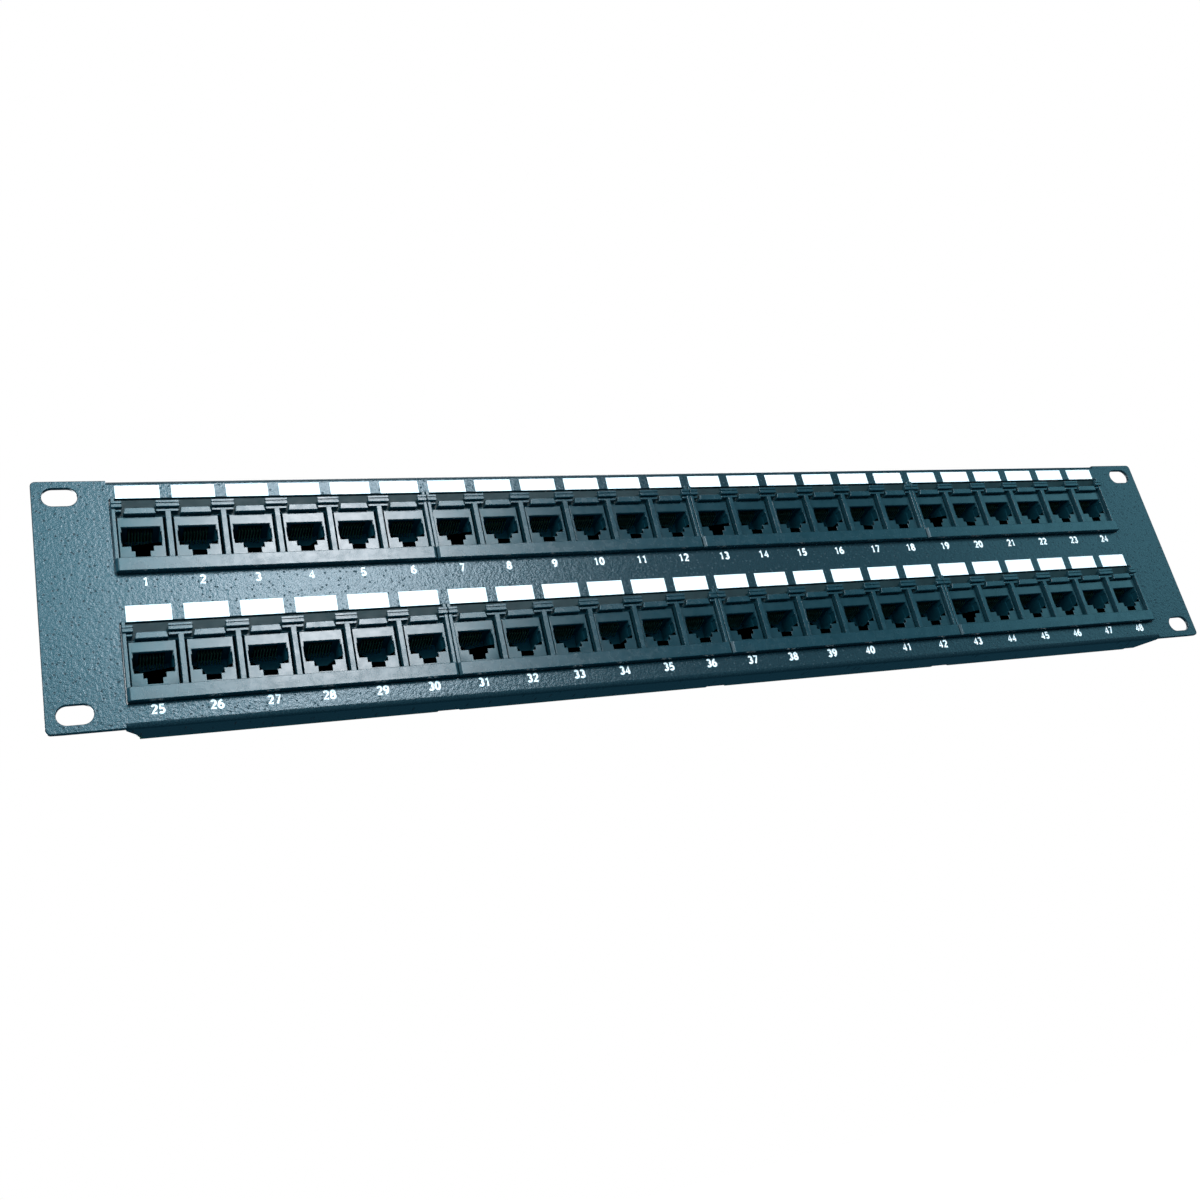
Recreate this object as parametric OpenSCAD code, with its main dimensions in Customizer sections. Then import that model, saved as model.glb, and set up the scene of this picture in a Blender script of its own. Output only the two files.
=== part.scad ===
// Two-unit 19-inch patch panel: a folded steel sheet that carries two rows of four moulded modules.
// A module is a bezel, six jacks, a circuit board and six punch-down blocks behind the board.
// X runs along the panel, Y from the front to the rear, and Z up.
// The origin is the middle of the mounting face, which is the rear face of the sheet.

/* [Panel sheet] */
// Overall width of the panel
panel_w = 482.6; // [481:0.1:484]
// Overall height of the panel
panel_h = 88.1; // [88:0.1:89]
// Thickness of the steel sheet
sheet_t = 1.5; // [1.2:0.1:1.6]
// Length of the folded top and bottom edges
fold_w = 436; // [435.6:0.1:440]
// Reach of the folded edges behind the mounting face
fold_d = 9.5; // [8:0.5:13]
// Outer radius of the folds
fold_r = 1.8; // [1.7:0.1:2.2]
// Length that the slanted ends take off each folded edge
fold_cut = 6; // [2:0.5:7]
// Radius of the four outer corners
corner_r = 1.6; // [0.5:0.1:4]

/* [Rack slots] */
// Distance between the slots along the panel
slot_span_x = 465.1; // [464.5:0.1:466]
// Distance between the slots up the panel
slot_span_z = 76.2; // [76:0.1:76.4]
// Length of a slot from end to end
slot_len = 11; // [8:0.1:12]
// Width of a slot
slot_w = 6.6; // [6:0.1:7.2]

/* [Rows of ports] */
// Distance from one port to the next
port_pitch = 18.1; // [18:0.02:18.1]
// Distance between the two rows
row_pitch = 45.1; // [45:0.1:45.2]
// Top edge of a row's cut-out, above the middle of its ports
cut_top = 14.4; // [14.3:0.1:14.6]
// Bottom edge of a row's cut-out, below the middle of its ports
cut_bottom = 13.6; // [13.5:0.1:13.8]
// Room left round each moulded module
play = 0.15; // [0.1:0.05:0.2]

/* [Bezel] */
// Reach of the sill in front of the sheet
sill_reach = 2.7; // [2:0.1:4]
// Top face of the sill, below the middle of the ports
sill_top = 8.75; // [8.7:0.05:9]
// Underside of the top beam, above the middle of the ports
beam_bottom = 7.8; // [7.6:0.1:8]
// Depth of the marker recess behind the front of the sheet
recess_d = 1; // [0.5:0.1:1.4]
// Reach of the ribs and end walls in front of the sheet
rib_reach = 1.6; // [1:0.1:2]
// Width of the ribs between the jacks
rib_w = 1.8; // [1.4:0.1:2.2]
// Thickness of the two end walls
end_w = 1.3; // [1:0.1:1.5]
// Reach of the lower lip of each marker recess in front of the sheet
lip_reach = 1.7; // [1:0.1:2.2]
// Height of the lower lip
lip_h = 2.3; // [1.8:0.1:2.4]
// Width of the lower lip at its foot
lip_w = 10.4; // [9:0.1:10.6]
// Reach of the retaining tabs in front of the sheet
tab_reach = 2.4; // [2:0.1:3]
// Width of a retaining tab
tab_w = 7.6; // [6:0.1:7.8]
// Height of a retaining tab
tab_h = 2.5; // [2:0.1:2.6]
// Thickness of the flange that bears on the rear of the sheet
flange_t = 2; // [1.5:0.1:2.5]
// Half height of that flange
flange_half_h = 19.4; // [19:0.1:19.4]
// Depth of the jack bays behind the mounting face
bay_d = 8; // [5:0.5:10]

/* [Jacks] */
// Width of a jack
jack_w = 14.5; // [14:0.1:15]
// Top face of a jack, above the middle of the ports
jack_top = 7.4; // [7.2:0.1:7.5]
// Width of the plug opening
mouth_w = 12.3; // [11.8:0.1:12.4]
// Top of the plug opening, above the middle of the ports
mouth_top = 3.6; // [3.4:0.1:3.8]
// Height of the plug opening's wide part
mouth_h = 6.9; // [6.8:0.1:7.1]
// Width and height of the upper latch step
step1 = [6.6, 1.8];
// Width and height of the lower latch step
step2 = [4.3, 2.1];
// Depth of the plug opening from the jack's face
mouth_d = 11; // [10:0.1:11.4]
// Chamfer round the plug opening
mouth_chamfer = 0.2; // [0.2:0.1:0.4]
// Distance between the contacts in a jack
contact_pitch = 1.02; // [1:0.01:1.04]
// Thickness of the contact strip
contact_t = 0.35; // [0.25:0.05:0.4]

/* [Circuit board] */
// Distance from the mounting face to the front of the board
board_y = 14.5; // [14:0.1:15]
// Thickness of the board
board_t = 1.6; // [1.4:0.1:1.8]
// Half height of the board
board_half_h = 19.5; // [19.5:0.1:20]
// Size of the board's corner chamfers
board_corner = 4; // [2:0.5:4]
// Place of the four screws, out from the middle of the module
screw_at = [48, 16.8];
// Radius of the screw posts
post_r = 2.6; // [2.4:0.1:2.6]
// Radius of the screw shank
shank_r = 1.15; // [1:0.05:1.3]
// Radius of the screw head
head_r = 2.3; // [2:0.1:2.4]

/* [Punch-down blocks] */
// Distance between the terminals of a block
idc_pitch = 3.81; // [3.7:0.01:3.85]
// Distance of each block row from the middle of the ports
idc_row_z = 8.6; // [8.5:0.1:8.8]
// Height of a block across its base
idc_base_h = 11; // [10:0.1:11]
// Depth of the base behind the board
idc_base_d = 5; // [4:0.5:6]
// Height of the comb across its teeth
idc_comb_h = 6.4; // [5:0.1:7]
// Depth of the tall teeth behind the board
idc_tall = 14.9; // [14:0.1:16]
// Depth of the short teeth behind the board
idc_short = 13.1; // [12:0.1:13.5]
// Width of the slits that take the wires
slit_w = 1.1; // [0.9:0.05:1.3]

/* [Write-on labels] */
// Width of a label
label_w = 14.3; // [13:0.1:15]
// Height of a label in the top row
label_top_h = 4.9; // [4:0.1:4.9]
// Height of a label in the bottom row
label_bottom_h = 5.7; // [5:0.1:6]
// Thickness of a label
label_t = 0.12; // [0.08:0.01:0.2]

/* [Hidden] */
$fn = 48;
PORT_RANGES = ["01_06", "07_12", "13_18", "19_24", "25_30", "31_36", "37_42", "43_48"];
MODULE_KINDS = ["bezel", "jacks", "jack_contacts", "circuit_board", "idc_blocks", "idc_contacts"];

modules_per_row = 4;
ports_per_module = 6;
eps = 0.01;

// Places along X of the modules in the panel, and of the ports and their borders in a module
module_w = ports_per_module * port_pitch;
module_x = [for (m = [0:modules_per_row - 1]) (m - (modules_per_row - 1) / 2) * module_w];
port_x = [for (p = [0:ports_per_module - 1]) (p - (ports_per_module - 1) / 2) * port_pitch];
rib_x = [for (p = [1:ports_per_module - 1]) (p - ports_per_module / 2) * port_pitch];
body_half_w = module_w / 2 - play;

// Depths of the front faces
sheet_front = -sheet_t;
sill_front = sheet_front - sill_reach;
rib_front = sheet_front - rib_reach;
lip_front = sheet_front - lip_reach;
tab_front = sheet_front - tab_reach;
tab_plate_t = 1.6;
recess_floor = sheet_front + recess_d;

// Heights in a module
beam_top = cut_top - play;
sill_bottom = cut_bottom - play;
tab_z = beam_bottom + lip_h - 0.1;
tab_shelf_h = 0.9;
tab_shelf_z = tab_z - tab_shelf_h - 0.25;
jack_bottom = sill_top - 0.1;
mouth_bottom = mouth_top - mouth_h;

// Depths behind the board
board_back = board_y + board_t;
mouth_back = sheet_front + mouth_d;
peg_r = 1.5;
peg_at = [5.7, -6];
peg_len = 1.3;

idc_count = 8;
idc_half_w = idc_count * idc_pitch / 2 + 0.2;
idc_columns = 3;
idc_x = [for (c = [0:idc_columns - 1]) (c - (idc_columns - 1) / 2) * module_w / idc_columns];
terminal_x = [for (t = [0:idc_count - 1]) (t - (idc_count - 1) / 2) * idc_pitch];

// An outline drawn in X and Z, extruded from depth y0 back to y1
module plate(y0, y1) {
    translate([0, y1, 0])
        rotate([90, 0, 0])
            linear_extrude(y1 - y0)
                children();
}

// An outline drawn in Y and Z, extruded along X and centred there
module along_x(length) {
    translate([-length / 2, 0, 0])
        rotate([90, 0, 90])
            linear_extrude(length)
                children();
}

// A box from its lowest to its highest corner
module block(low, high) {
    translate(low)
        cube(high - low);
}

module obround(length, width) {
    square([length - width, width], center = true);
    for (side = [-1, 1])
        translate([side * (length - width) / 2, 0])
            circle(d = width);
}

module rounded_rect(size, r) {
    square([size[0] - 2 * r, size[1]], center = true);
    square([size[0], size[1] - 2 * r], center = true);
    for (x = [-1, 1], y = [-1, 1])
        translate([x * (size[0] / 2 - r), y * (size[1] / 2 - r)])
            circle(r);
}

// Section of the folded sheet's outside or inside, with round edges at the front only
module fold_section(front, rear, half_h, r) {
    translate([front + r, -half_h])
        square([rear - front - r, 2 * half_h]);
    translate([front, r - half_h])
        square([rear - front, 2 * (half_h - r)]);
    for (side = [-1, 1])
        translate([front + r, side * (half_h - r)])
            circle(r);
}

// The two slanted cuts at one end of the folded edges, seen from above
module fold_end_cut() {
    uncut = 1.5;
    polygon([
        [fold_w / 2 + 1, uncut],
        [fold_w / 2, uncut],
        [fold_w / 2 - fold_cut, fold_d + eps],
        [fold_w / 2 + 1, fold_d + eps]
    ]);
}

module front_panel() {
    color("#3f5560")
        difference() {
            union() {
                along_x(fold_w)
                    difference() {
                        fold_section(sheet_front, fold_d, panel_h / 2, fold_r);
                        fold_section(0, fold_d + 1, panel_h / 2 - sheet_t, fold_r - sheet_t);
                    }
                plate(sheet_front, 0)
                    difference() {
                        rounded_rect([panel_w, panel_h], corner_r);
                        square([fold_w, panel_h + 1], center = true);
                    }
            }
            for (side = [0, 1])
                mirror([side, 0, 0])
                    translate([0, 0, -panel_h])
                        linear_extrude(2 * panel_h)
                            fold_end_cut();
            plate(sheet_front - 1, 1)
                sheet_holes();
        }
}

// Rack slots and the two long cut-outs
module sheet_holes() {
    for (x = [-1, 1], z = [-1, 1])
        translate([x * slot_span_x / 2, z * slot_span_z / 2])
            obround(slot_len, slot_w);
    for (row = [-1, 1])
        translate([0, row * row_pitch / 2 + (cut_top - cut_bottom) / 2])
            rounded_rect([modules_per_row * module_w + 0.2, cut_top + cut_bottom], 0.5);
}

// Six-port bezel
module bezel() {
    color("#33464f")
        difference() {
            union() {
                bezel_frame();
                sill();
                for (x = rib_x)
                    block([x - rib_w / 2, rib_front, -sill_top - eps], [x + rib_w / 2, bay_d, tab_shelf_z + eps]);
                for (x = rib_x)
                    translate([x, 0, 0])
                        retaining_tab(tab_w / 2, tab_w / 2);
                for (side = [0, 1])
                    mirror([side, 0, 0])
                        translate([-body_half_w, 0, 0])
                            retaining_tab(0, tab_w / 2 - 0.4);
                for (x = port_x)
                    translate([x, 0, 0])
                        marker_lip();
                each_corner()
                    post();
            }
            each_corner()
                rotate([-90, 0, 0])
                    translate([0, 0, board_y - 10])
                        cylinder(r = shank_r + 0.05, h = 11);
        }
}

// Flange, top beam and the open bays that the jacks sit in
module bezel_frame() {
    bay_wall = 1.5;
    inner_half_w = body_half_w - end_w;
    plate(0, flange_t)
        difference() {
            square([2 * body_half_w, 2 * flange_half_h], center = true);
            translate([-inner_half_w, -sill_top])
                square([2 * inner_half_w, sill_top + beam_bottom]);
        }
    block([-body_half_w, recess_floor, beam_bottom], [body_half_w, eps, beam_top]);
    for (side = [0, 1])
        mirror([side, 0, 0])
            block([inner_half_w, rib_front, -sill_bottom], [body_half_w, bay_d, beam_top]);
    plate(flange_t - eps, bay_d)
        difference() {
            translate([-body_half_w, -sill_top - bay_wall])
                square([2 * body_half_w, sill_top + beam_bottom + 2 * bay_wall]);
            translate([-inner_half_w, -sill_top])
                square([2 * inner_half_w, sill_top + beam_bottom]);
        }
}

// Proud sill below the jacks, with its front corners cut back
module sill() {
    corner = 0.8;
    translate([0, 0, -sill_bottom])
        linear_extrude(sill_bottom - sill_top)
            polygon([
                [-body_half_w, eps],
                [-body_half_w, sill_front + corner],
                [corner - body_half_w, sill_front],
                [body_half_w - corner, sill_front],
                [body_half_w, sill_front + corner],
                [body_half_w, eps]
            ]);
}

// Grooved tab on a neck, with a shelf below it, reaching left and right from a border
module retaining_tab(left, right) {
    neck = 0.6;
    groove_h = 0.5;
    groove_d = 0.35;
    groove_z = tab_z + tab_h / 2;
    difference() {
        block([-left, tab_front, tab_z], [right, tab_front + tab_plate_t, tab_z + tab_h]);
        block(
            [-left - 1, tab_front - 1, groove_z - groove_h / 2],
            [right + 1, tab_front + groove_d, groove_z + groove_h / 2]
        );
    }
    block(
        [-max(left - neck, 0), tab_front + tab_plate_t - eps, tab_z + 0.3],
        [right - neck, recess_floor + eps, tab_z + tab_h - 0.3]
    );
    block([-left, lip_front + 0.4, tab_shelf_z], [right - 0.2, recess_floor + eps, tab_shelf_z + tab_shelf_h]);
}

// Lower lip of a marker recess, narrower at its top
module marker_lip() {
    slant = 0.5;
    plate(lip_front, recess_floor + eps)
        polygon([
            [-lip_w / 2, beam_bottom],
            [lip_w / 2, beam_bottom],
            [lip_w / 2 - slant, beam_bottom + lip_h],
            [slant - lip_w / 2, beam_bottom + lip_h]
        ]);
}

module post() {
    rotate([-90, 0, 0])
        translate([0, 0, flange_t - eps])
            cylinder(r = post_r, h = board_y - flange_t + eps);
}

// The four screw places of a module
module each_corner() {
    for (x = [-1, 1], z = [-1, 1])
        translate([x * screw_at[0], 0, z * screw_at[1]])
            children();
}

// Front view of the plug opening, grown by g on every side
module mouth_outline(g = 0) {
    step1_bottom = mouth_bottom - step1[1];
    translate([-mouth_w / 2 - g, mouth_bottom - g])
        square([mouth_w + 2 * g, mouth_h + 2 * g]);
    translate([-step1[0] / 2 - g, step1_bottom - g])
        square([step1[0] + 2 * g, step1[1] + g]);
    translate([-step2[0] / 2 - g, step1_bottom - step2[1] - g])
        square([step2[0] + 2 * g, step2[1] + g]);
}

// Jack housing, open at the front for the plug and at the rear for its contacts
module jack() {
    slot_half_w = 4.1;
    slot_top = 5.7;
    side_relief = 0.35;
    difference() {
        block([-jack_w / 2, sheet_front, -jack_bottom], [jack_w / 2, board_y, jack_top]);
        plate(sheet_front - 1, mouth_back)
            mouth_outline();
        plate(sheet_front - 1, sheet_front + mouth_chamfer)
            mouth_outline(mouth_chamfer);
        block(
            [-mouth_w / 2 - side_relief, sheet_front - 1, -1.9],
            [mouth_w / 2 + side_relief, sheet_front + 3, 1.9]
        );
        block([-slot_half_w, 0, mouth_top - eps], [slot_half_w, board_y + 1, slot_top]);
    }
    for (side = [-1, 1])
        translate([side * peg_at[0], board_y - eps, peg_at[1]])
            rotate([-90, 0, 0])
                cylinder(r = peg_r, h = peg_len);
}

module jacks() {
    color("#2c3c44")
        for (x = port_x)
            translate([x, 0, 0])
                jack();
}

// Outline of a strip of thickness t that follows the points p, with mitred corners
function unit(v) = v / norm(v);
function left_of(v) = [-v[1], v[0]];
function way(p, i) = unit(p[i + 1] - p[i]);
function miter(p, i, half) =
    let (a = way(p, max(i - 1, 0)), b = way(p, min(i, len(p) - 2)), n = unit(left_of(a) + left_of(b)))
    p[i] + n * half / (n * left_of(a));
function strip(p, t) = concat(
    [for (i = [0:len(p) - 1]) miter(p, i, t / 2)],
    [for (i = [len(p) - 1:-1:0]) miter(p, i, -t / 2)]
);

// Eight contact springs in each jack: they run forward above the opening and fold back into it
module jack_contacts() {
    strip_w = 0.4;
    run_z = 4.9;
    fold_y = 2.6;
    spring = [[board_y, run_z], [fold_y, run_z], [fold_y, 3.2], [8.6, 1.75]];
    color("#c9a24a")
        for (x = port_x, c = [0:7])
            translate([x + (c - 3.5) * contact_pitch, 0, 0])
                along_x(strip_w)
                    polygon(strip(spring, contact_t));
}

module circuit_board() {
    color("#1d5a3a")
        plate(board_y, board_back)
            difference() {
                board_outline();
                board_holes();
            }
}

module board_outline() {
    cut_w = body_half_w - board_corner;
    cut_h = board_half_h - board_corner;
    polygon([
        [-cut_w, -board_half_h], [cut_w, -board_half_h],
        [body_half_w, -cut_h], [body_half_w, cut_h],
        [cut_w, board_half_h], [-cut_w, board_half_h],
        [-body_half_w, cut_h], [-body_half_w, -cut_h]
    ]);
}

// Holes for the screws and the jacks' pegs
module board_holes() {
    for (x = [-1, 1], z = [-1, 1])
        translate([x * screw_at[0], z * screw_at[1]])
            circle(shank_r + 0.3);
    for (x = port_x, side = [-1, 1])
        translate([x + side * peg_at[0], peg_at[1]])
            circle(peg_r + 0.05);
}

// Outline of the comb seen from above: nine teeth, tall and short by turns
function tooth(t) =
    let (x = (t - idc_count / 2) * idc_pitch,
         half = (idc_pitch - slit_w) / 2,
         low = max(x - half, -idc_half_w),
         high = min(x + half, idc_half_w),
         tip = board_back + (t % 2 == 0 ? idc_tall : idc_short),
         root = board_back + idc_base_d + 1.4)
    [[low, root], [low, tip], [high, tip], [high, root]];
function comb_outline() = concat(
    [[-idc_half_w, board_back]],
    [for (t = [0:idc_count]) for (point = tooth(t)) point],
    [[idc_half_w, board_back]]
);

// Punch-down block: a base and a comb of teeth, with a slot through them for the terminals
module idc_block() {
    slot_half_w = idc_half_w - 0.5;
    slot_half_h = 0.35;
    slot_d = 11.5;
    difference() {
        union() {
            translate([0, 0, -idc_comb_h / 2])
                linear_extrude(idc_comb_h)
                    polygon(comb_outline());
            plate(board_back, board_back + idc_base_d)
                square([2 * idc_half_w, idc_base_h], center = true);
        }
        block([-slot_half_w, board_back - 1, -slot_half_h], [slot_half_w, board_back + slot_d, slot_half_h]);
    }
}

// The six block places of a module
module each_block() {
    for (x = idc_x, row = [-1, 1])
        translate([x, 0, row * idc_row_z])
            children();
}

module idc_blocks() {
    color("#e4e4dc")
        each_block()
            idc_block();
}

// Forked blade that stands on the board and grips a wire between its two tines
module idc_contact() {
    blade_half_w = 1.4;
    blade_h = 10.9;
    blade_t = 0.5;
    gap_half_w = 0.15;
    gap_h = 6.5;
    translate([0, board_back, -blade_t / 2])
        linear_extrude(blade_t)
            difference() {
                translate([-blade_half_w, 0])
                    square([2 * blade_half_w, blade_h]);
                translate([-gap_half_w, blade_h - gap_h])
                    square([2 * gap_half_w, gap_h + 1]);
            }
}

module idc_contacts() {
    color("#c8ccd0")
        each_block()
            for (x = terminal_x)
                translate([x, 0, 0])
                    idc_contact();
}

// Pan-head screw with a cross recess
module board_screw() {
    head_h = 1.7;
    shank_len = 8;
    recess = [0.7, 2.8, 0.9];
    rotate([-90, 0, 0])
        difference() {
            union() {
                translate([0, 0, board_back])
                    cylinder(r1 = head_r, r2 = head_r - 0.6, h = head_h, $fn = 48);
                translate([0, 0, board_back - shank_len])
                    cylinder(r = shank_r, h = shank_len + eps);
            }
            for (turn = [0, 90])
                translate([0, 0, board_back + head_h - recess[2] / 2 + eps])
                    rotate(turn)
                        cube(recess, center = true);
        }
}

// Puts a module's pieces at module number m, where 0 to 3 are the top row
module in_module(m) {
    row = m < modules_per_row ? 1 : -1;
    translate([module_x[m % modules_per_row], 0, row * row_pitch / 2])
        children();
}

module board_screws() {
    color("#b9bdc1")
        for (m = [0:len(PORT_RANGES) - 1])
            in_module(m)
                each_corner()
                    board_screw();
}

// A row of labels that ends just above the row's cut-out
module labels(row, h) {
    gap = 0.1;
    color("#f6f6f4")
        for (m = module_x, x = port_x)
            translate([m + x, 0, row * row_pitch / 2 + cut_top + gap + h / 2])
                plate(sheet_front - label_t, sheet_front)
                    square([label_w, h], center = true);
}

module labels_top_row() {
    labels(1, label_top_h);
}

module labels_bottom_row() {
    labels(-1, label_bottom_h);
}

front_panel();
labels_top_row();
labels_bottom_row();
board_screws();
for (m = [0:len(PORT_RANGES) - 1]) {
    in_module(m) bezel();
    in_module(m) jacks();
    in_module(m) jack_contacts();
    in_module(m) circuit_board();
    in_module(m) idc_blocks();
    in_module(m) idc_contacts();
}
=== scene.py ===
"""Looks for a two-unit patch panel with 48 modular ports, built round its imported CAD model.

Lengths are in metres. X runs along the panel, Y from the front to the rear, and Z up.
The front of the sheet faces -Y. Each of the eight modules holds six ports.
"""

import math

import bmesh
import bpy
from mathutils import Matrix, Quaternion, Vector


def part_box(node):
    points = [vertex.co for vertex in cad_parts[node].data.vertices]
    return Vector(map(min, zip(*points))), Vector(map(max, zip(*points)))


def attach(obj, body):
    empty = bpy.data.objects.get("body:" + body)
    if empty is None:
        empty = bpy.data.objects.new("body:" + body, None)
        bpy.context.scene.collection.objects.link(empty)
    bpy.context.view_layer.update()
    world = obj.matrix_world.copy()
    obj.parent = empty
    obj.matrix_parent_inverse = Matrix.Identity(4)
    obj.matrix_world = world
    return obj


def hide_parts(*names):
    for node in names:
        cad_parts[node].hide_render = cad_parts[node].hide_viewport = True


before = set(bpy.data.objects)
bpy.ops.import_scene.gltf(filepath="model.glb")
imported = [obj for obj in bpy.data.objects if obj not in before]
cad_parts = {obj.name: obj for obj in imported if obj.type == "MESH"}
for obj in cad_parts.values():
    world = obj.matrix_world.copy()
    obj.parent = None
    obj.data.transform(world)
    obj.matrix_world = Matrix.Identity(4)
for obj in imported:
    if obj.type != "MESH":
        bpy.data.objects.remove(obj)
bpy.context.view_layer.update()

MM = 0.001
ROOT = "root"
PORTS_PER_MODULE = 6
MODULES_PER_ROW = 4

# ---------------------------------------------------------------- places, from the CAD nodes

RANGES = sorted(n.removeprefix("jacks_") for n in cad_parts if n.startswith("jacks_"))


def middle(node):
    """The middle of a CAD node's box."""
    low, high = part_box(node)
    return (low + high) / 2


# A module's origin: the middle of its ports, on the mounting face
ORIGINS = {}
for port_range in RANGES:
    board_middle = middle(f"circuit_board_{port_range}")
    ORIGINS[port_range] = Vector((board_middle.x, 0, board_middle.z))
FIRST = RANGES[0]
PORT_PITCH = (ORIGINS[RANGES[1]].x - ORIGINS[FIRST].x) / PORTS_PER_MODULE
SHEET_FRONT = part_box("labels_top_row")[1].y
BOARD_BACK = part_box(f"circuit_board_{FIRST}")[1].y


def port_x(port):
    """Place of port 0 to 5 along its module."""
    return (port - (PORTS_PER_MODULE - 1) / 2) * PORT_PITCH


# ---------------------------------------------------------------- materials

NOISE_LOW, NOISE_HIGH = 0.3, 0.7  # most values of a noise lie between these


class Surface:
    """A Principled material, with its looks driven by patterns in object space."""

    def __init__(self, name, **constants):
        self.material = bpy.data.materials.new(name)
        self.material.use_nodes = True
        self.tree = self.material.node_tree
        self.shader = self.tree.nodes["Principled BSDF"]
        for socket, value in constants.items():
            self.shader.inputs[socket.replace("_", " ")].default_value = value
        self.space = self.node("TexCoord").outputs["Object"]

    def node(self, kind):
        return self.tree.nodes.new("ShaderNode" + kind)

    def link(self, source, target):
        self.tree.links.new(source, target)

    def stretched(self, scale):
        """Object space, scaled along each axis."""
        mapping = self.node("Mapping")
        mapping.inputs["Scale"].default_value = scale
        self.link(self.space, mapping.inputs["Vector"])
        return mapping.outputs["Vector"]

    def noise(self, size, detail=2.0, stretch=(1, 1, 1)):
        """Cloudy noise with features of about this size."""
        made = self.node("TexNoise")
        made.inputs["Scale"].default_value = 1 / size
        made.inputs["Detail"].default_value = detail
        self.link(self.stretched(stretch), made.inputs["Vector"])
        return made.outputs["Fac"]

    def cells(self, size, stretch=(1, 1, 1)):
        """Distance from the middle of the nearest cell, where cells are about this size."""
        made = self.node("TexVoronoi")
        made.inputs["Scale"].default_value = 1 / size
        self.link(self.stretched(stretch), made.inputs["Vector"])
        return made.outputs["Distance"]

    def remap(self, source, low, high, to_low=0.0, to_high=1.0):
        """A value that goes from to_low to to_high, as source goes from low to high."""
        made = self.node("MapRange")
        limits = {"From Min": low, "From Max": high, "To Min": to_low, "To Max": to_high}
        for socket, value in limits.items():
            made.inputs[socket].default_value = value
        self.link(source, made.inputs["Value"])
        return made.outputs["Result"]

    def tones(self, source, dark, light):
        """Base colour from dark to light, as a noise goes from low to high."""
        ramp = self.node("ValToRGB")
        stops = ((NOISE_LOW, dark), (NOISE_HIGH, light))
        for stop, (position, color) in zip(ramp.color_ramp.elements, stops):
            stop.position = position
            stop.color = (*color, 1)
        self.link(source, ramp.inputs["Fac"])
        self.link(ramp.outputs["Color"], self.shader.inputs["Base Color"])

    def gloss(self, source, low, high, start=NOISE_LOW, end=NOISE_HIGH):
        """Roughness from low to high, as source goes from start to end."""
        self.link(self.remap(source, start, end, low, high), self.shader.inputs["Roughness"])

    def relief(self, *layers):
        """Bumps: pairs of a source and the height that it stands for."""
        below = None
        for source, height in layers:
            bump = self.node("Bump")
            bump.inputs["Strength"].default_value = 1.0
            bump.inputs["Distance"].default_value = height
            self.link(source, bump.inputs["Height"])
            if below:
                self.link(below, bump.inputs["Normal"])
            below = bump.outputs["Normal"]
        self.link(below, self.shader.inputs["Normal"])


# Where a pit's floor ends and where its slope ends, as distances from its middle, in cells
PIT_FLOOR, PIT_EDGE = 0.09, 0.24


def powder_coat():
    """Textured powder coat: an orange peel with sparse dull pits, over a fine speckle."""
    s = Surface("powder_coat", IOR=1.56, Specular_Tint=(0.80, 0.93, 1.0, 1))
    peel = s.noise(1.0 * MM, 1)
    grain = s.noise(0.3 * MM)
    spots = s.cells(1.9 * MM, (1, 0.2, 1))
    pits = s.remap(spots, 0.0, PIT_EDGE)
    s.tones(grain, (0.002, 0.009, 0.014), (0.017, 0.037, 0.044))
    s.gloss(spots, 0.72, 0.25, PIT_FLOOR, PIT_EDGE)
    s.relief((peel, 0.085 * MM), (grain, 0.026 * MM), (pits, 0.045 * MM))
    return s.material


def moulded(name, dark, light, roughness, grain_height, **constants):
    """Injection-moulded plastic: a faint flow mottle and a fine spark-eroded grain.

    Its colours are linear, and roughness is a pair, from the smoothest patch to the dullest.
    """
    s = Surface(name, **constants)
    s.tones(s.noise(6 * MM, 3), dark, light)
    s.gloss(s.noise(2.5 * MM), *roughness)
    s.relief((s.noise(0.25 * MM), grain_height), (s.noise(5 * MM), 1.5 * grain_height))
    return s.material


def plated(name, dark, light, roughness):
    """Thin metal plating with drawing marks along the strip."""
    s = Surface(name, Metallic=1.0)
    marks = s.noise(0.4 * MM, stretch=(1, 0.15, 1))
    s.tones(marks, dark, light)
    s.gloss(marks, *roughness)
    s.relief((marks, 0.004 * MM))
    return s.material


def solder_mask():
    """Green lacquer on a board, over the weave of its glass."""
    s = Surface("board_green", IOR=1.5, Coat_Weight=0.3, Coat_Roughness=0.15)
    weave = s.noise(0.5 * MM, 1, (1, 1, 3))
    s.tones(s.noise(9 * MM), (0.008, 0.070, 0.030), (0.014, 0.105, 0.048))
    s.gloss(s.noise(2 * MM), 0.25, 0.4)
    s.relief((weave, 0.01 * MM))
    return s.material


def label_film():
    """Matt white film that takes a pen."""
    s = Surface("label_white", IOR=1.45)
    s.tones(s.noise(0.3 * MM, 3, (1, 1, 4)), (0.88, 0.885, 0.89), (0.95, 0.95, 0.95))
    s.gloss(s.noise(1.0 * MM), 0.6, 0.75)
    s.relief((s.noise(0.15 * MM), 0.006 * MM))
    return s.material


def ink(name, color):
    """Screen-printed ink, a little uneven."""
    s = Surface(name, IOR=1.45)
    s.tones(s.noise(0.2 * MM), tuple(c * 0.9 for c in color), color)
    s.gloss(s.noise(0.5 * MM), 0.5, 0.65)
    s.relief((s.noise(0.2 * MM), 0.005 * MM))
    return s.material


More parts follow.
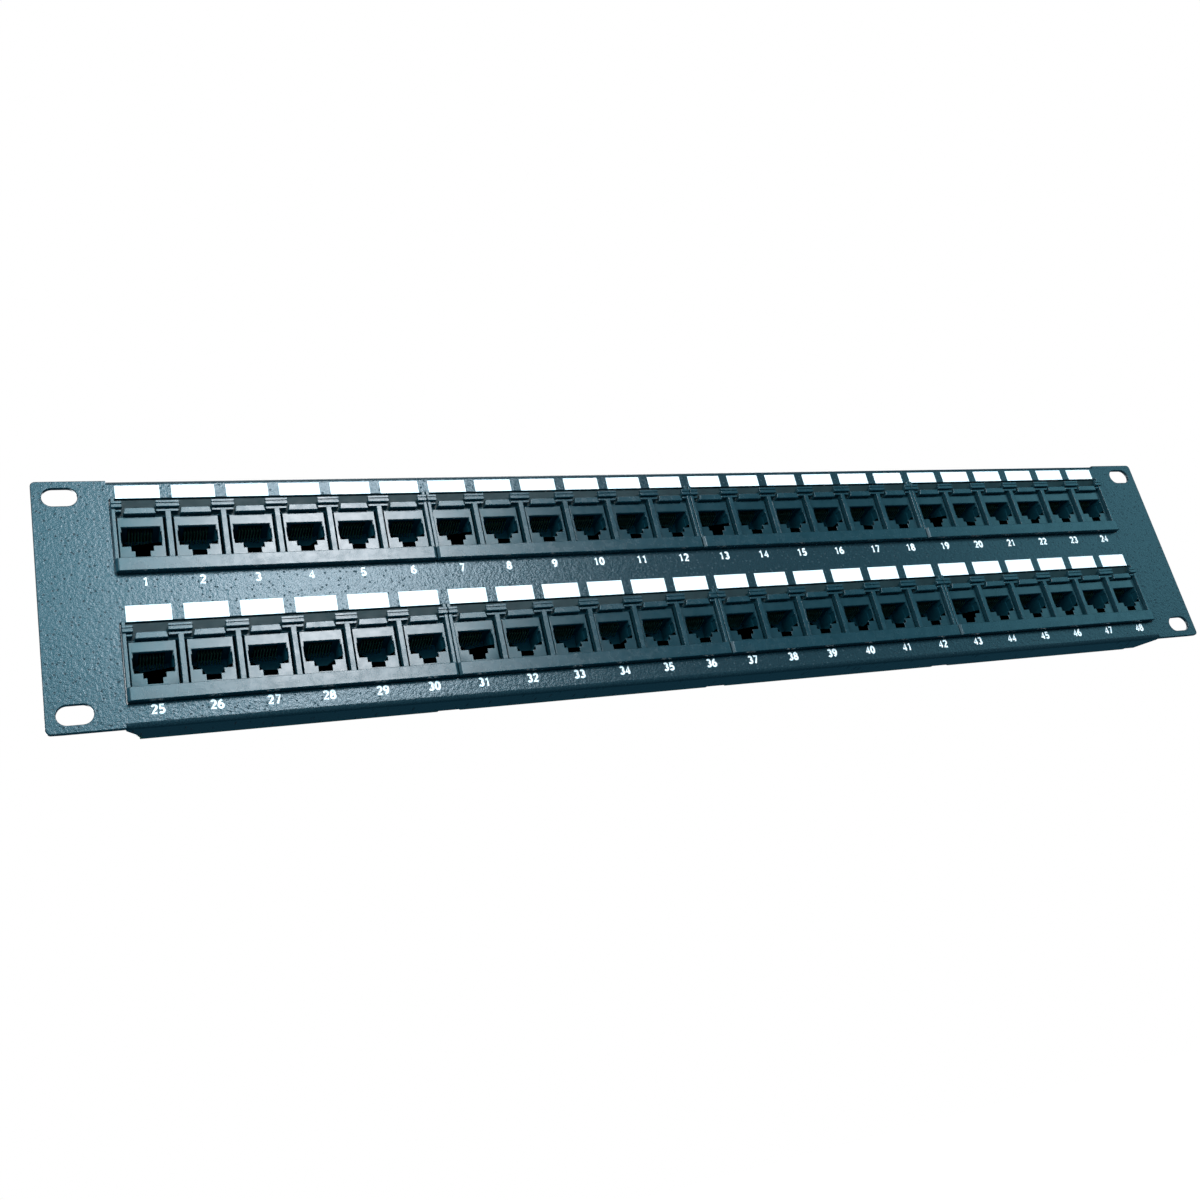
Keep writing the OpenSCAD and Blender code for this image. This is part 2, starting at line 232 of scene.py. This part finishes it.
COAT = powder_coat()
BEZEL = moulded(
    "bezel_plastic", (0.006, 0.026, 0.034), (0.010, 0.034, 0.044), (0.22, 0.30),
    grain_height=0.005 * MM, IOR=1.58)
JACK = moulded(
    "jack_plastic", (0.006, 0.024, 0.031), (0.010, 0.031, 0.039), (0.19, 0.25),
    grain_height=0.003 * MM, IOR=1.56)
# Darker, duller plastic for the faces inside the jacks' mouths: painted shade in the cavities.
JACK_INSIDE_SHADE = moulded(
    "jack_inside_shade", (0.002, 0.018, 0.026), (0.003, 0.024, 0.033), (0.70, 0.80),
    grain_height=0.003 * MM, IOR=1.15)
# Dark, dull plastic for the card in the marker recess: painted shade, standing in for the shade
# that falls in the recess.
SHADE_CARD = moulded(
    "recess_shade_card", (0.004, 0.012, 0.014), (0.008, 0.020, 0.022), (0.45, 0.55),
    grain_height=0.004 * MM, IOR=1.35)
BLOCK = moulded(
    "block_plastic", (0.70, 0.70, 0.64), (0.78, 0.78, 0.72), (0.38, 0.48),
    grain_height=0.006 * MM)
GOLD = plated("gold_contact", (0.66, 0.53, 0.30), (0.88, 0.75, 0.50), (0.30, 0.40))
TIN = plated("tinned_terminal", (0.60, 0.61, 0.63), (0.78, 0.79, 0.80), (0.28, 0.40))
ZINC = plated("screw_steel", (0.62, 0.64, 0.66), (0.80, 0.81, 0.82), (0.40, 0.52))
BOARD = solder_mask()
LABEL = label_film()
WHITE_INK = ink("white_ink", (0.96, 0.93, 0.92))

# ---------------------------------------------------------------- mesh work

SAME_POINT = 0.001 * MM  # corners nearer than this are one
FLAT = math.radians(1)  # faces that meet at less than this are one
SHARP = math.radians(30)  # edges that turn more than this are rounded
PARALLEL = 0.9  # cosine over which an edge carries on along another
ROOM_SHARE = 0.42  # part of the room beside an edge that its bevel may take
ONE_FACE = 0.87  # cosine between faces that are shaded as one curved face
ONE_CORNER = 0.5  # cosine between the facets of a rounded corner
ANY_MAIN = 0.2  # least cosine between a rounded facet and a main face that it blends into
ROUNDED = 1  # material index that marks the facets of a rounded edge, until they are shaded

# Where the folds end along the panel, and the height past which they start
FOLD_END_X, FOLD_Z = 218 * MM, 42 * MM


def at_fold_end(edge):
    """Whether an edge lies where a fold meets the flat ear, among facets too small to round."""
    return all(
        abs(abs(v.co.x) - FOLD_END_X) < 0.1 * MM and abs(v.co.z) > FOLD_Z
        for v in edge.verts)


def rounded_copy(node, width, segments=2, offset=Vector(), skip=None):
    """A copy of a CAD node's mesh, moved by -offset, with its outer edges rounded.

    No vertex of it lies outside the node's own box.
    """
    work = bmesh.new()
    work.from_mesh(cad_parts[node].data)
    bmesh.ops.remove_doubles(work, verts=work.verts, dist=SAME_POINT)
    bmesh.ops.dissolve_limit(work, angle_limit=FLAT, verts=work.verts, edges=work.edges)
    bmesh.ops.translate(work, verts=work.verts, vec=-offset)
    low = [min(v.co[axis] for v in work.verts) for axis in range(3)]
    high = [max(v.co[axis] for v in work.verts) for axis in range(3)]
    mesh = bevelled(work, width, segments, skip)
    for v in mesh.vertices:
        v.co = [min(max(value, least), most) for value, least, most in zip(v.co, low, high)]
    return mesh


def room_beside(edge):
    """Length of the shortest edge that leaves either end of this one at an angle."""
    def direction(of_edge):
        return (of_edge.verts[1].co - of_edge.verts[0].co).normalized()

    along = direction(edge)
    lengths = [
        other.calc_length()
        for vert in edge.verts
        for other in vert.link_edges
        if other is not edge and abs(along.dot(direction(other))) < PARALLEL
    ]
    return min(lengths, default=1.0)


def bevelled(work, width, segments, skip=None):
    """Turns a bmesh into a mesh with its convex edges rounded, but for those to skip.

    An edge's bevel is narrower than width where the shape beside it leaves little room.
    """
    weight = work.edges.layers.float.new("bevel_weight_edge")
    for edge in work.edges:
        if skip and skip(edge):
            continue
        if len(edge.link_faces) == 2 and edge.is_convex and edge.calc_face_angle() > SHARP:
            edge[weight] = min(1.0, ROOM_SHARE * room_beside(edge) / width)
    mesh = bpy.data.meshes.new("shape")
    for _ in range(ROUNDED + 1):
        mesh.materials.append(None)
    work.to_mesh(mesh)
    work.free()
    holder = bpy.data.objects.new("holder", mesh)
    bpy.context.scene.collection.objects.link(holder)
    bevel = holder.modifiers.new("round_edges", "BEVEL")
    bevel.limit_method = "WEIGHT"
    bevel.width = width
    bevel.segments = segments
    bevel.use_clamp_overlap = False
    bevel.material = ROUNDED
    graph = bpy.context.evaluated_depsgraph_get()
    result = bpy.data.meshes.new_from_object(holder.evaluated_get(graph), depsgraph=graph)
    bpy.data.objects.remove(holder)
    shade(result)
    result.materials.clear()
    return result


def shade(mesh):
    """Shades main faces flat, or smoothly where they turn gently, and blends rounded edges in."""
    faces = mesh.polygons
    main = [[] for _ in mesh.vertices]
    rounded = [[] for _ in mesh.vertices]
    for face in faces:
        for vert in face.vertices:
            (rounded if face.material_index == ROUNDED else main)[vert].append(face.index)

    def blend(near, normal, limit):
        """The mean normal of the faces near a corner whose cosine with normal is over limit."""
        total = Vector()
        for other in near:
            if faces[other].normal.dot(normal) > limit:
                total += faces[other].normal * faces[other].area
        return total.normalized() if total.length else normal

    normals = []
    for face in faces:
        for vert in face.vertices:
            if face.material_index == ROUNDED:
                best = max(
                    main[vert], key=lambda f: faces[f].normal.dot(face.normal), default=None)
                if best is not None and faces[best].normal.dot(face.normal) > ANY_MAIN:
                    normals.append(blend(main[vert], faces[best].normal, ONE_FACE))
                else:
                    normals.append(blend(rounded[vert], face.normal, ONE_CORNER))
            else:
                normals.append(blend(main[vert], face.normal, ONE_FACE))
    for face in faces:
        face.use_smooth = True
        face.material_index = 0
    mesh.normals_split_custom_set(normals)


def place(name, mesh, material, location=(0, 0, 0), node=None):
    """Shows a mesh as a piece of the object, in place of a CAD node if one is named.

    A list of materials goes by the mesh's material indices.
    """
    piece = bpy.data.objects.new(name, mesh)
    bpy.context.scene.collection.objects.link(piece)
    piece.location = location
    if not mesh.materials:
        for each in material if isinstance(material, list) else [material]:
            mesh.materials.append(each)
    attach(piece, ROOT)
    if node:
        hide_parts(node)


def every_module(kind, mesh, material, name):
    """Puts a mesh, drawn round a module's origin, in all eight modules.

    It takes the place of their CAD nodes of a kind, if that isn't None.
    """
    for port_range in RANGES:
        node = f"{kind}_{port_range}" if kind else None
        place(f"{name}_{port_range}", mesh, material, ORIGINS[port_range], node)


# ---------------------------------------------------------------- the panel and its modules

sheet = rounded_copy("front_panel", 0.3 * MM, 3, skip=at_fold_end)
place("panel_sheet", sheet, COAT, node="front_panel")
for row in ("top", "bottom"):
    row_node = f"labels_{row}_row"
    labels = rounded_copy(row_node, 0.05 * MM, 1)
    place(f"write_on_{row}", labels, LABEL, node=row_node)
screws = rounded_copy("board_screws", 0.2 * MM)
place("screws", screws, ZINC, node="board_screws")


def module_copy(kind, width, segments=2):
    """A rounded copy of the first module's node of a kind, drawn round the module's origin."""
    return rounded_copy(f"{kind}_{FIRST}", width, segments, ORIGINS[FIRST])


every_module("bezel", module_copy("bezel", 0.25 * MM), BEZEL, "bezel_shell")

CARD_INSET = 1.5 * MM  # from a bezel's end to the card's
CARD_FRONT, CARD_BACK = SHEET_FRONT + 0.7 * MM, SHEET_FRONT + 1.0 * MM
CARD_BOTTOM, CARD_TOP = 8.3 * MM, 14.15 * MM
CARD_CUTS = 23  # across the card's long faces, so that none is a sliver


def recess_shade_card():
    """A dark card that lies in a module's marker recess, behind the tabs: painted shade that
    darkens the recess.
    """
    low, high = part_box(f"bezel_{FIRST}")
    half_w = (high.x - low.x) / 2 - CARD_INSET
    work = bmesh.new()
    bmesh.ops.create_cube(work, size=1)
    for v in work.verts:
        v.co = (
            2 * half_w * v.co.x,
            CARD_BACK if v.co.y > 0 else CARD_FRONT,
            CARD_TOP if v.co.z > 0 else CARD_BOTTOM)
    long_edges = [e for e in work.edges if e.calc_length() > half_w]
    bmesh.ops.subdivide_edges(work, edges=long_edges, cuts=CARD_CUTS)
    return bevelled(work, 0.06 * MM, 1)


# Painted shade: a dark card in each module's marker recess.
every_module(None, recess_shade_card(), SHADE_CARD, "recess_shade_card")

# Faces deeper than this behind the sheet's front get the darker plastic, which paints shade.
JACK_INSIDE_Y = SHEET_FRONT + 0.25 * MM


def jack_shells():
    """The jacks' shells, with every face behind their fronts given the second material, a darker
    plastic that paints shade inside the mouths.
    """
    mesh = module_copy("jacks", 0.2 * MM)
    for face in mesh.polygons:
        face.material_index = int(face.center.y > JACK_INSIDE_Y)
    return mesh


springs = module_copy("jack_contacts", 0.14 * MM)
board = module_copy("circuit_board", 0.1 * MM, 1)
punch_blocks = module_copy("idc_blocks", 0.3 * MM)
terminals = module_copy("idc_contacts", 0.08 * MM, 1)
every_module("jacks", jack_shells(), [JACK, JACK_INSIDE_SHADE], "jack_shells")
every_module("jack_contacts", springs, GOLD, "springs")
every_module("circuit_board", board, BOARD, "board")
every_module("idc_blocks", punch_blocks, BLOCK, "punch_blocks")
every_module("idc_contacts", terminals, TIN, "terminals")

# ---------------------------------------------------------------- wire colours

SLITS = 8  # in each block
SLIT_PITCH = 3.81 * MM
SHOULDER_Y = BOARD_BACK + 5 * MM
SHOULDER_INSET = 1.1 * MM  # from a module's uppermost or lowest block face to a dot's middle
DOT_FOOT, DOT_FACE, DOT_T = 0.75 * MM, 0.68 * MM, 0.06 * MM  # radii, and thickness
FACE_REAR = Matrix.Rotation(-math.pi / 2, 4, "X")


def column_x(column):
    """Place along its module of column 0 to 2, of an upper and a lower block behind two ports."""
    return (column - 1) * 2 * PORT_PITCH


def wire_marks():
    """Paint dots for four pairs of wires, on the shoulder beside each slit of a module's blocks.

    A pair's first wire is white, and its second is of the pair's own colour.
    """
    work = bmesh.new()
    low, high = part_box(f"idc_blocks_{FIRST}")
    shoulder_z = (high.z - low.z) / 2 - SHOULDER_INSET
    for column in range(PORTS_PER_MODULE // 2):
        for side in (1, -1):
            for slit in range(SLITS):
                x = column_x(column) + (slit - (SLITS - 1) / 2) * SLIT_PITCH
                spot = Matrix.Translation((x, SHOULDER_Y, side * shoulder_z))
                dot = bmesh.ops.create_cone(
                    work, cap_ends=True, segments=20,
                    radius1=DOT_FOOT, radius2=DOT_FACE, depth=DOT_T, matrix=spot @ FACE_REAR)
                for face in {f for v in dot["verts"] for f in v.link_faces}:
                    face.material_index = 0 if slit % 2 == 0 else 1 + slit // 2
    mesh = bpy.data.meshes.new("wire_marks")
    work.to_mesh(mesh)
    work.free()
    return mesh


WIRE_INKS = [
    WHITE_INK,
    ink("blue_ink", (0.02, 0.10, 0.50)),
    ink("orange_ink", (0.85, 0.22, 0.02)),
    ink("green_ink", (0.02, 0.30, 0.06)),
    ink("brown_ink", (0.20, 0.07, 0.025)),
]
every_module(None, wire_marks(), WIRE_INKS, "wire_colours")

# ---------------------------------------------------------------- printing


def arc(x, y, radius_x, radius_y, start, end, steps=12):
    """Points along part of an ellipse, with angles in degrees."""
    angles = [math.radians(start + (end - start) * i / steps) for i in range(steps + 1)]
    return [(x + radius_x * math.cos(a), y + radius_y * math.sin(a)) for a in angles]


def turned(strokes):
    """The same strokes upside down."""
    return [[(-x, 1 - y) for x, y in stroke] for stroke in strokes]


SIX = [
    arc(0, 0.31, 0.24, 0.25, 0, 360),
    [(-0.24, 0.31), (-0.215, 0.52), (-0.13, 0.74), (0.0, 0.88), (0.15, 0.94)],
]
DIGITS = {  # strokes of numerals that are 1 high, round x = 0
    "0": [arc(0, 0.5, 0.24, 0.44, 0, 360, 20)],
    "1": [[(-0.17, 0.72), (0.03, 0.92), (0.03, 0.0)]],
    "2": [arc(0, 0.69, 0.22, 0.25, 165, -40) + [(-0.22, 0.06), (0.25, 0.06)]],
    "3": [arc(-0.01, 0.715, 0.20, 0.225, 150, -90), arc(-0.01, 0.275, 0.235, 0.215, 90, -155)],
    "4": [[(0.12, 0.0), (0.12, 0.92), (-0.25, 0.28), (0.27, 0.28)]],
    "5": [[(0.21, 0.94), (-0.15, 0.94), (-0.19, 0.52)] + arc(-0.01, 0.32, 0.235, 0.26, 130, -150)],
    "6": SIX,
    "7": [[(-0.24, 0.94), (0.24, 0.94), (-0.07, 0.0)]],
    "8": [arc(0, 0.725, 0.19, 0.215, 0, 360), arc(0, 0.28, 0.235, 0.225, 0, 360)],
    "9": turned(SIX),
}
DIGIT_STEP = 0.74  # from one numeral to the next, in heights
STROKE = 0.27  # width of a stroke, in heights
INK_T = 0.10 * MM


def written(text):
    """A mesh of round strokes for a number that is 1 high, in the XY plane, round its middle."""
    curve = bpy.data.curves.new("text", "CURVE")
    curve.dimensions = "3D"
    curve.bevel_depth = STROKE / 2
    curve.bevel_resolution = 2
    curve.use_fill_caps = True
    for index, digit in enumerate(text):
        shift = (index - (len(text) - 1) / 2) * DIGIT_STEP
        for stroke in DIGITS[digit]:
            closed = math.dist(stroke[0], stroke[-1]) < 1e-6
            points = stroke[:-1] if closed else stroke
            spline = curve.splines.new("POLY")
            spline.points.add(len(points) - 1)
            for point, (x, y) in zip(spline.points, points):
                point.co = (x + shift, y - 0.5, 0, 1)
            spline.use_cyclic_u = closed
    holder = bpy.data.objects.new("text", curve)
    bpy.context.scene.collection.objects.link(holder)
    graph = bpy.context.evaluated_depsgraph_get()
    mesh = bpy.data.meshes.new_from_object(holder.evaluated_get(graph), depsgraph=graph)
    bpy.data.objects.remove(holder)
    return mesh


def numerals(words, height, facing=1):
    """One mesh of numbers, given as (text, place) pairs, as low ridges of ink.

    They face -Y, or +Y if facing is -1.
    """
    work = bmesh.new()
    for text, where in words:
        ridges = written(text)
        ridges.transform(
            Matrix.Translation(where)
            @ Matrix.Diagonal((facing, 1, 1, 1))
            @ Matrix.Rotation(math.pi / 2, 4, "X")
            @ Matrix.Diagonal((height, height, INK_T / STROKE, 1))
        )
        work.from_mesh(ridges)
    mesh = bpy.data.meshes.new("numerals")
    work.to_mesh(mesh)
    work.free()
    return mesh


NUMBER_H, REAR_NUMBER_H = 3.1 * MM, 2.2 * MM
TOP_ROW_DROP, BOTTOM_ROW_DROP = 16.5 * MM, 15.9 * MM  # from the ports down to their numbers
REAR_NUMBER_Z = 17.0 * MM
front_numbers = []
rear_numbers = []
for index, port_range in enumerate(RANGES):
    drop = TOP_ROW_DROP if index < MODULES_PER_ROW else BOTTOM_ROW_DROP
    for port in range(PORTS_PER_MODULE):
        text = str(index * PORTS_PER_MODULE + port + 1)
        on_sheet = Vector((port_x(port), SHEET_FRONT, -drop))
        front_numbers.append((text, ORIGINS[port_range] + on_sheet))
        # An odd port's block is the upper one of a column, and the next port's is the lower one
        side = 1 if port % 2 == 0 else -1
        on_board = Vector((column_x(port // 2), BOARD_BACK, side * REAR_NUMBER_Z))
        rear_numbers.append((text, ORIGINS[port_range] + on_board))
place("port_numbers", numerals(front_numbers, NUMBER_H), WHITE_INK)
place("rear_numbers", numerals(rear_numbers, REAR_NUMBER_H, facing=-1), WHITE_INK)

# ---------------------------------------------------------------- camera, lights, floor

AIM = Vector((-47.9, 0, -9.3)) * MM
DISTANCE = 487.2 * MM
AZIMUTH = math.radians(-25.80)
ELEVATION = math.radians(-21.07)
ROLL = math.radians(13.19)

back = Vector((
    math.sin(AZIMUTH) * math.cos(ELEVATION),
    -math.cos(AZIMUTH) * math.cos(ELEVATION),
    math.sin(ELEVATION),
))
camera = bpy.data.objects.new("camera", bpy.data.cameras.new("camera"))
camera.data.lens = 39.0
camera.data.clip_start = 0.01
camera.location = AIM + back * DISTANCE
camera.rotation_mode = "QUATERNION"
camera.rotation_quaternion = (-back).to_track_quat("-Z", "Y") @ Quaternion((0, 0, 1), -ROLL)
bpy.context.scene.collection.objects.link(camera)
bpy.context.scene.camera = camera


def softbox(name, centre, target, size, radiance, color=(1, 1, 1), glossy=True):
    """A rectangular light of this size and radiance that faces target.

    One that isn't glossy leaves no reflection.
    """
    light = bpy.data.lights.new(name, "AREA")
    light.shape = "RECTANGLE"
    light.size, light.size_y = size
    light.energy = radiance * math.pi * size[0] * size[1]
    light.color = color
    holder = bpy.data.objects.new(name, light)
    holder.location = centre
    direction = Vector(target) - Vector(centre)
    holder.rotation_euler = direction.to_track_quat("-Z", "Y").to_euler()
    holder.visible_glossy = glossy
    bpy.context.scene.collection.objects.link(holder)


MIDDLE = (0, 0, 0)
SILVER = (1.0, 0.91, 0.93)
WARM = (1.0, 0.92, 0.90)
COOL = (0.8, 0.95, 1.0)
TEAL = (0.36, 0.84, 1.0)
PALE_TEAL = (0.35, 0.85, 1.0)
DEEP_TEAL = (0.05, 0.65, 0.95)
softbox("key", (0.095, -1.05, 0.53), (-0.14, 0, 0), (0.26, 0.42), 16, SILVER)
softbox("key_wide", (-0.06, -1.10, 0.53), (-0.18, 0, 0), (0.78, 0.52), 4.2, TEAL)
softbox("front", (-0.2, -1.3, 0.3), MIDDLE, (0.9, 0.6), 5.5, WARM, glossy=False)
softbox("side", (-1.3, -0.9, 0.15), MIDDLE, (0.7, 0.7), 10, COOL, glossy=False)
softbox("low", (-0.35, -0.75, -0.30), MIDDLE, (0.4, 0.4), 5.5, DEEP_TEAL, glossy=False)
softbox("fill_left", (-1.2, -0.9, 0.8), MIDDLE, (0.8, 0.8), 2.2)
softbox("fill_right", (1.8, -1.2, 0.7), (0.1, 0, 0), (0.8, 0.8), 1.6, PALE_TEAL)
softbox("top", (0, 0.1, 1.5), MIDDLE, (1.6, 0.8), 1.2)
softbox("rear", (0.6, 1.3, 0.8), MIDDLE, (1.0, 0.8), 4)
softbox("rear_low", (-0.9, 1.3, 0.1), MIDDLE, (0.7, 0.9), 6)


def background(tree, color, strength=1.0):
    """A plain background of one colour."""
    made = tree.nodes.new("ShaderNodeBackground")
    made.inputs["Color"].default_value = (*color, 1)
    made.inputs["Strength"].default_value = strength
    return made.outputs["Background"]


def studio():
    """A world that is dim and teal as light, and white where the camera sees it."""
    world = bpy.data.worlds.new("studio")
    bpy.context.scene.world = world
    world.use_nodes = True
    tree = world.node_tree
    tree.nodes.clear()
    output = tree.nodes.new("ShaderNodeOutputWorld")
    mix = tree.nodes.new("ShaderNodeMixShader")
    seen = tree.nodes.new("ShaderNodeLightPath")
    tree.links.new(seen.outputs["Is Camera Ray"], mix.inputs["Fac"])
    tree.links.new(background(tree, (0.15, 0.65, 1.0), 0.14), mix.inputs[1])
    tree.links.new(background(tree, (1, 1, 1)), mix.inputs[2])
    tree.links.new(mix.outputs["Shader"], output.inputs["Surface"])


studio()
bpy.context.scene.view_settings.view_transform = "Standard"

FLOOR_Z = -0.6
FLOOR_SIZE = 12
bpy.ops.mesh.primitive_grid_add(
    x_subdivisions=4, y_subdivisions=4, size=FLOOR_SIZE, location=(0, 0, FLOOR_Z))
floor = bpy.context.object
floor.name = "floor"
paper = Surface("paper", IOR=1.4)
paper.tones(paper.noise(0.4), (0.86, 0.86, 0.86), (0.9, 0.9, 0.9))
paper.gloss(paper.noise(0.2), 0.8, 0.9)
paper.shader.inputs["Emission Color"].default_value = (1, 1, 1, 1)
paper.shader.inputs["Emission Strength"].default_value = 1.0
floor.data.materials.append(paper.material)
floor.visible_diffuse = False
floor.visible_glossy = False
